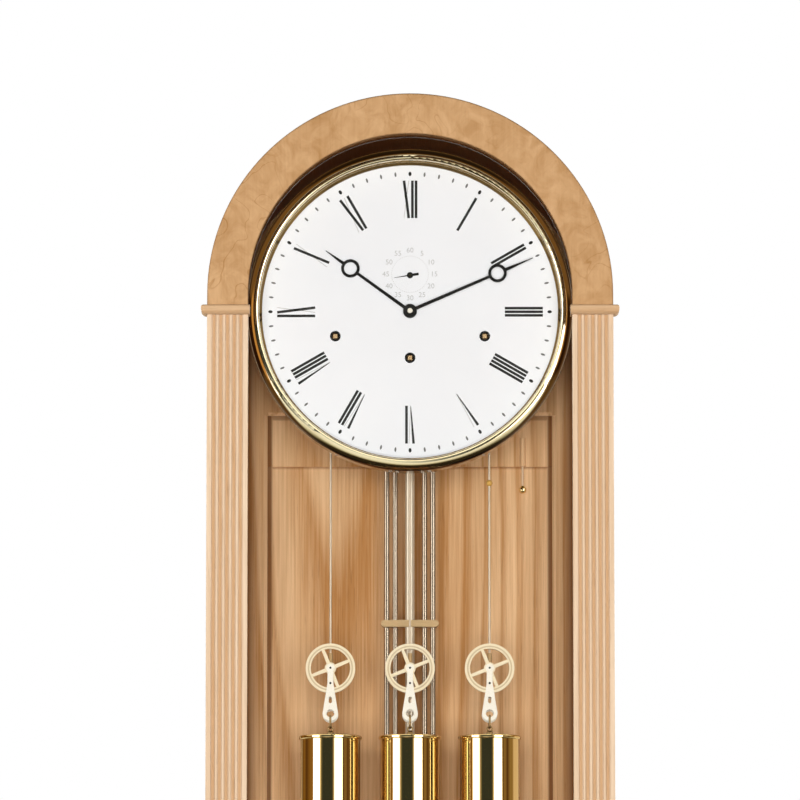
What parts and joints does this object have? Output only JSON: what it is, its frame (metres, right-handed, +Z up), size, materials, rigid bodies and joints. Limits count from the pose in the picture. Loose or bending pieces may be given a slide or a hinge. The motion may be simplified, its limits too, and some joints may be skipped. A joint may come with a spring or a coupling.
{
  "type": "longcase clock",
  "caption": "Tall arched oak clock case with a glazed pilaster door, white dial, brass bezel, pulley-hung weights and a gridiron pendulum.",
  "frame": {"origin": "centre of the case's footprint on the floor", "axes": "+Z up, +Y from the door to the back, +X to the viewer's right"},
  "size_m": [0.447, 0.32, 1.95],
  "materials": {
    "oak": "waxed light oak, curly figure",
    "oak_back": "waxed oak boards",
    "clear_glass": "clear polished pane",
    "brass": "polished brass",
    "pale_brass": "pale lacquered brass",
    "steel": "bright steel",
    "black_steel": "blackened steel",
    "enamel": "white enamel",
    "line": "stranded wire line",
    "cord": "twisted cord",
    "rubber_foot": "black foot"
  },
  "bodies": {
    "case": {"plinth_skirting": "oak", "base_panels": "oak", "base_top_board": "oak", "levelling_feet": "rubber_foot", "left_side_panel": "oak", "right_side_panel": "oak", "arch_hood": "oak", "back_frame": "oak_back", "back_panel": "oak_back", "hinge_case_leaves": "brass", "movement_bracket": "black_steel", "front_plate": "brass", "back_plate": "brass", "dial": "enamel", "bezel": "brass", "winding_grommets": "black_steel", "bells": "brass", "left_line": "line", "centre_line": "line", "right_line": "line"},
    "door": {"door_left_stile": "oak", "door_right_stile": "oak", "door_arch": "oak", "door_bottom_rail": "oak", "capitals": "oak", "pilaster_blocks": "oak", "door_glass": "clear_glass", "glazing_bead": "oak", "hinge_door_leaves": "brass"},
    "latch": {"turn_latch": "brass"},
    "minute": {"minute_hand": "black_steel", "cannon_pinion": "brass"},
    "hour": {"hour_hand": "black_steel", "hour_wheel": "brass"},
    "motion_wheel": {"minute_wheel": "brass"},
    "seconds": {"seconds_hand": "black_steel", "escape_wheel": "brass"},
    "third": {"third_wheel": "brass"},
    "centre": {"centre_wheel": "brass"},
    "great": {"great_wheel": "brass"},
    "pendulum": {"pendulum_rods": "steel", "pendulum_bridges": "brass", "pendulum_bob": "brass"},
    "rating": {"rating_nut": "brass"},
    "anchor_body": {"anchor": "steel"},
    "hammer_body": {"hammers": "brass"},
    "pull": {"pull_cord": "cord"},
    "left_drive": {"left_hanger": "pale_brass", "left_weight": "brass"},
    "left_wheel": {"left_pulley": "pale_brass"},
    "left_drum": {"left_barrel": "brass"},
    "centre_drive": {"centre_hanger": "pale_brass", "centre_weight": "brass"},
    "centre_wheel": {"centre_pulley": "pale_brass"},
    "centre_drum": {"centre_barrel": "brass"},
    "right_drive": {"right_hanger": "pale_brass", "right_weight": "brass"},
    "right_wheel": {"right_pulley": "pale_brass"},
    "right_drum": {"right_barrel": "brass"}
  },
  "joints": [
    {"name": "door_hinge", "type": "hinge", "parent": "case", "child": "door", "pos_m": [0.2005, -0.1117, 0.364], "axis": [0, 0, 1], "range_deg": [0, 105]},
    {"name": "latch_turn", "type": "hinge", "parent": "door", "child": "latch", "pos_m": [-0.177, -0.14, 1.054], "axis": [0, -1, 0], "range_deg": [0, 90]},
    {"name": "minute_turn", "type": "hinge", "parent": "case", "child": "minute", "pos_m": [0, -0.0358, 1.7438], "axis": [0, 1, 0], "continuous": true},
    {"name": "hour_turn", "type": "hinge", "parent": "case", "child": "hour", "pos_m": [0, -0.0322, 1.7438], "axis": [0, 1, 0], "continuous": true},
    {"name": "motion_wheel_turn", "type": "hinge", "parent": "case", "child": "motion_wheel", "pos_m": [-0.01663, -0.0125, 1.7342], "axis": [0, 1, 0], "continuous": true},
    {"name": "seconds_turn", "type": "hinge", "parent": "case", "child": "seconds", "pos_m": [0, -0.0298, 1.7812], "axis": [0, 1, 0], "continuous": true},
    {"name": "third_turn", "type": "hinge", "parent": "case", "child": "third", "pos_m": [0.01832, 0.028, 1.7639], "axis": [0, 1, 0], "continuous": true},
    {"name": "centre_turn", "type": "hinge", "parent": "case", "child": "centre", "pos_m": [0, 0.038, 1.7438], "axis": [0, 1, 0], "continuous": true},
    {"name": "great_turn", "type": "hinge", "parent": "case", "child": "great", "pos_m": [0, 0, 1.6965], "axis": [0, 1, 0], "continuous": true},
    {"name": "pendulum_swing", "type": "hinge", "parent": "case", "child": "pendulum", "pos_m": [0, 0.088, 1.80666], "axis": [0, 1, 0], "range_deg": [-3, 3]},
    {"name": "anchor_rock", "type": "hinge", "parent": "case", "child": "anchor_body", "pos_m": [0, -0.005, 1.80666], "axis": [0, 1, 0], "range_deg": [-3, 3]},
    {"name": "rating_nut_turn", "type": "hinge", "parent": "pendulum", "child": "rating", "pos_m": [0, 0.088, 0.71766], "axis": [0, 0, 1], "continuous": true},
    {"name": "hammers_lift", "type": "hinge", "parent": "case", "child": "hammer_body", "pos_m": [0, 0.066, 1.8358], "axis": [-1, 0, 0], "range_deg": [0, 20]},
    {"name": "cord_pull", "type": "slide", "parent": "case", "child": "pull", "axis": [0, 0, -1], "range_m": [0, 0.015]},
    {"name": "left_weight_drop", "type": "slide", "parent": "case", "child": "left_drive", "axis": [0, 0, 1], "range_m": [-0.655, 0.052], "deforming": ["left_line"]},
    {"name": "left_barrel_turn", "type": "hinge", "parent": "case", "child": "left_drum", "pos_m": [-0.076, 0.0028, 1.7187], "axis": [0, 1, 0], "range_deg": [-5009, 402]},
    {"name": "left_pulley_turn", "type": "hinge", "parent": "left_drive", "child": "left_wheel", "pos_m": [-0.081, 0.02, 1.384], "axis": [0, 1, 0], "continuous": true},
    {"name": "centre_weight_drop", "type": "slide", "parent": "case", "child": "centre_drive", "axis": [0, 0, 1], "range_m": [-0.655, 0.052], "deforming": ["centre_line"]},
    {"name": "centre_barrel_turn", "type": "hinge", "parent": "case", "child": "centre_drum", "pos_m": [0, 0.0028, 1.6965], "axis": [0, 1, 0], "range_deg": [-5009, 402]},
    {"name": "centre_pulley_turn", "type": "hinge", "parent": "centre_drive", "child": "centre_wheel", "pos_m": [0, 0.02, 1.384], "axis": [0, 1, 0], "continuous": true},
    {"name": "right_weight_drop", "type": "slide", "parent": "case", "child": "right_drive", "axis": [0, 0, 1], "range_m": [-0.655, 0.052], "deforming": ["right_line"]},
    {"name": "right_barrel_turn", "type": "hinge", "parent": "case", "child": "right_drum", "pos_m": [0.076, 0.0028, 1.7187], "axis": [0, 1, 0], "range_deg": [-402, 5009]},
    {"name": "right_pulley_turn", "type": "hinge", "parent": "right_drive", "child": "right_wheel", "pos_m": [0.081, 0.02, 1.384], "axis": [0, 1, 0], "continuous": true}
  ],
  "couplings": [
    {"joint": "hour_turn", "follows": "minute_turn", "ratio": 0.083333},
    {"joint": "motion_wheel_turn", "follows": "minute_turn", "ratio": -0.33333},
    {"joint": "third_turn", "follows": "seconds_turn", "ratio": -0.125},
    {"joint": "centre_turn", "follows": "seconds_turn", "ratio": 0.016667},
    {"joint": "great_turn", "follows": "seconds_turn", "ratio": -0.0013889},
    {"joint": "anchor_rock", "follows": "pendulum_swing", "ratio": 1},
    {"joint": "left_barrel_turn", "follows": "left_weight_drop", "rad_per_m": 133.33},
    {"joint": "centre_barrel_turn", "follows": "centre_weight_drop", "rad_per_m": 133.33},
    {"joint": "right_barrel_turn", "follows": "right_weight_drop", "rad_per_m": -133.33}
  ]
}
